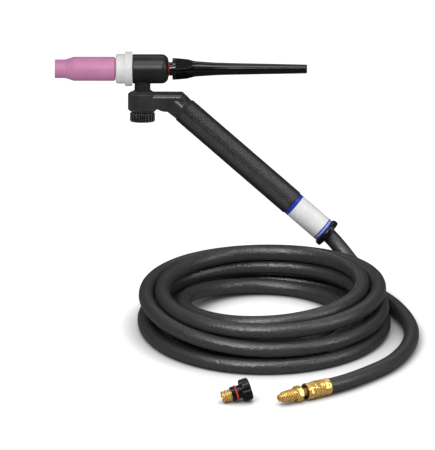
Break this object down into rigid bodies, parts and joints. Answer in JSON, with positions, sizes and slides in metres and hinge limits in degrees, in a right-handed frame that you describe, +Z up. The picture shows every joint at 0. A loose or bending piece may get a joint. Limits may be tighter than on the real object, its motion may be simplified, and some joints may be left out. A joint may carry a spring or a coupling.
{
  "type": "tig torch",
  "caption": "Gas-cooled TIG welding torch: turning head with a pink nozzle and long back cap on an offset arm, round handle, and its hose lying in a coil; a short back cap lies beside.",
  "frame": {"origin": "on the ground under the middle of the torch and the short back cap, hose left out", "axes": "+X along the head from the nozzle to the back cap, +Z up, +Y away from the viewer"},
  "size_m": [0.2863, 0.3041, 0.1824],
  "materials": {
    "nozzle": "satin fired ceramic, pink",
    "shield": "satin, near white",
    "head": "moulded, half gloss",
    "cap": "moulded, glossy",
    "arm": "satin with glossy edges",
    "handle": "fine lengthwise ribs",
    "label": "white band between blue stripes",
    "bead": "glossy black rubber",
    "hose": "matte with a fine cloth print",
    "seal": "red",
    "black_seal": "smooth",
    "brass": "polished",
    "copper": "polished copper",
    "liner": "plain",
    "steel": "brushed"
  },
  "bodies": {
    "handle": {"arm_body": "arm", "stem_bushing": "liner", "handle_grip": "handle", "label_sleeve": "label", "handle_end_ring": "bead", "power_connector": "brass", "hose_in_handle": "hose", "inner_ferrule": "brass", "power_conductor": "copper", "hose_lead_in": "hose", "hose_coil": "hose", "hose_tail": "hose", "hose_ferrule": "brass", "hose_end_ring": "bead", "cable_fitting": "brass", "short_cap": "cap", "short_cap_insert": "brass", "short_cap_seal": "seal"},
    "head": {"torch_head": "head", "head_core": "brass", "swivel_stem": "head", "stem_core": "brass", "stem_seals": "black_seal", "collet_body": "copper"},
    "shield": {"insulator": "shield"},
    "nozzle": {"nozzle": "nozzle"},
    "collet": {"collet": "copper"},
    "back_cap": {"back_cap": "cap", "back_cap_insert": "brass", "back_cap_seal": "seal"},
    "washer": {"thrust_washer": "steel"},
    "knob": {"lock_knob": "cap", "knob_insert": "brass"}
  },
  "joints": [
    {"name": "head_swivel", "type": "hinge", "parent": "handle", "child": "head", "pos_m": [-0.04227, 0.13623, 0.1689], "axis": [0, 0.225, 0.9744], "continuous": true},
    {"name": "shield_slide", "type": "slide", "parent": "head", "child": "shield", "axis": [-1, 0, 0], "range_m": [0, 0.0028]},
    {"name": "nozzle_screw", "type": "hinge", "parent": "shield", "child": "nozzle", "pos_m": [-0.04227, 0.13623, 0.1689], "axis": [-1, 0, 0], "range_deg": [0, 720]},
    {"name": "collet_slide", "type": "slide", "parent": "head", "child": "collet", "axis": [1, 0, 0], "range_m": [0, 0.0025]},
    {"name": "back_cap_screw", "type": "hinge", "parent": "collet", "child": "back_cap", "pos_m": [-0.04227, 0.13623, 0.1689], "axis": [1, 0, 0], "range_deg": [0, 720]},
    {"name": "washer_slide", "type": "slide", "parent": "head", "child": "washer", "axis": [0, -0.225, -0.9744], "range_m": [0, 0.002]},
    {"name": "knob_screw", "type": "hinge", "parent": "washer", "child": "knob", "pos_m": [-0.04227, 0.13623, 0.1689], "axis": [0, -0.225, -0.9744], "range_deg": [0, 720]}
  ],
  "couplings": [
    {"joint": "shield_slide", "follows": "nozzle_screw", "m_per_rad": 0.00022282},
    {"joint": "collet_slide", "follows": "back_cap_screw", "m_per_rad": 0.00019894},
    {"joint": "washer_slide", "follows": "knob_screw", "m_per_rad": 0.00015915}
  ]
}
